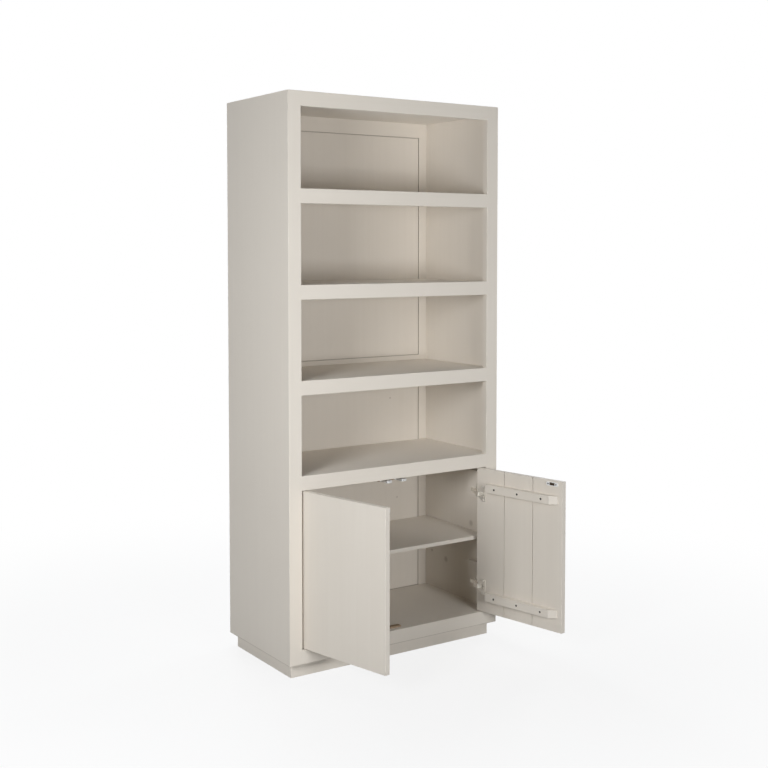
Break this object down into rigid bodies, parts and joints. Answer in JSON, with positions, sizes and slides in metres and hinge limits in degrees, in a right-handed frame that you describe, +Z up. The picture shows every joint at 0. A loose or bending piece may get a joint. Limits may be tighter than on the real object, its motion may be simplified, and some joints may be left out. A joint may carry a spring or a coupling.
{
  "type": "bookcase with cabinet doors",
  "caption": "Tall painted wooden bookcase with open bays in a face frame above a cabinet with hinged push-to-open doors, on a recessed plinth.",
  "frame": {"origin": "on the floor under the middle of the carcass footprint, on the underside of the plinth bearer", "axes": "+X to the right seen from the front, +Y to the back, +Z up"},
  "size_m": [0.916, 0.8211, 2],
  "materials": {
    "painted_wood": "satin greige paint, faint grain",
    "bare_wood": "bare brown wood",
    "hinge_steel": "nickel-plated pressed steel",
    "dark_screws": "black oxide",
    "white_plastic": "moulded white plastic",
    "strike_steel": "browned steel",
    "spring_steel": "spring wire"
  },
  "bodies": {
    "carcass": {"back_bottom_rail": "painted_wood", "back_left_stile": "painted_wood", "back_lower_panel": "painted_wood", "back_middle_rail": "painted_wood", "back_right_stile": "painted_wood", "back_top_rail": "painted_wood", "back_upper_panel": "painted_wood", "bottom_rail": "painted_wood", "cabinet_deck": "painted_wood", "cabinet_floor": "painted_wood", "cabinet_shelf": "painted_wood", "cabinet_top_rail": "painted_wood", "door_stop": "bare_wood", "hinge_arms": "hinge_steel", "hinge_blocks": "painted_wood", "hinge_pins": "hinge_steel", "hinge_plates": "hinge_steel", "hinge_screws": "hinge_steel", "latch_block": "bare_wood", "latch_screws": "dark_screws", "left_latch_housing": "white_plastic", "left_latch_spring": "spring_steel", "left_side_panel": "painted_wood", "left_stile": "painted_wood", "lower_shelf": "painted_wood", "lower_shelf_rail": "painted_wood", "middle_shelf": "painted_wood", "middle_shelf_rail": "painted_wood", "plinth_back": "painted_wood", "plinth_bearer": "painted_wood", "plinth_front": "painted_wood", "plinth_left": "painted_wood", "plinth_right": "painted_wood", "right_latch_housing": "white_plastic", "right_latch_spring": "spring_steel", "right_side_panel": "painted_wood", "right_stile": "painted_wood", "shelf_pins": "hinge_steel", "top_panel": "painted_wood", "top_rail": "painted_wood", "upper_shelf": "painted_wood", "upper_shelf_rail": "painted_wood"},
    "left_door": {"left_door_battens": "painted_wood", "left_door_hinge_board": "painted_wood", "left_door_hinge_cups": "hinge_steel", "left_door_meeting_board": "painted_wood", "left_door_middle_board": "painted_wood", "left_door_screws": "dark_screws", "left_door_strike_insert": "strike_steel", "left_door_strike_plate": "white_plastic"},
    "left_latch_plunger": {"left_latch_plunger": "white_plastic"},
    "right_door": {"right_door_battens": "painted_wood", "right_door_hinge_board": "painted_wood", "right_door_hinge_cups": "hinge_steel", "right_door_meeting_board": "painted_wood", "right_door_middle_board": "painted_wood", "right_door_screws": "dark_screws", "right_door_strike_insert": "strike_steel", "right_door_strike_plate": "white_plastic"},
    "right_latch_plunger": {"right_latch_plunger": "white_plastic"}
  },
  "joints": [
    {"name": "left_door_hinge", "type": "hinge", "parent": "carcass", "child": "left_door", "pos_m": [-0.385, -0.217, 0.375], "axis": [0, 0, -1], "range_deg": [-77, 28]},
    {"name": "right_door_hinge", "type": "hinge", "parent": "carcass", "child": "right_door", "pos_m": [0.385, -0.217, 0.375], "axis": [0, 0, 1], "range_deg": [-101, 4]},
    {"name": "left_latch_press", "type": "slide", "parent": "carcass", "child": "left_latch_plunger", "axis": [0, 1, 0], "range_m": [0, 0.003], "stiffness_N_per_m": 300, "springref_m": -0.006, "deforming": ["left_latch_spring"]},
    {"name": "right_latch_press", "type": "slide", "parent": "carcass", "child": "right_latch_plunger", "axis": [0, 1, 0], "range_m": [0, 0.003], "stiffness_N_per_m": 300, "springref_m": -0.006, "deforming": ["right_latch_spring"]}
  ]
}
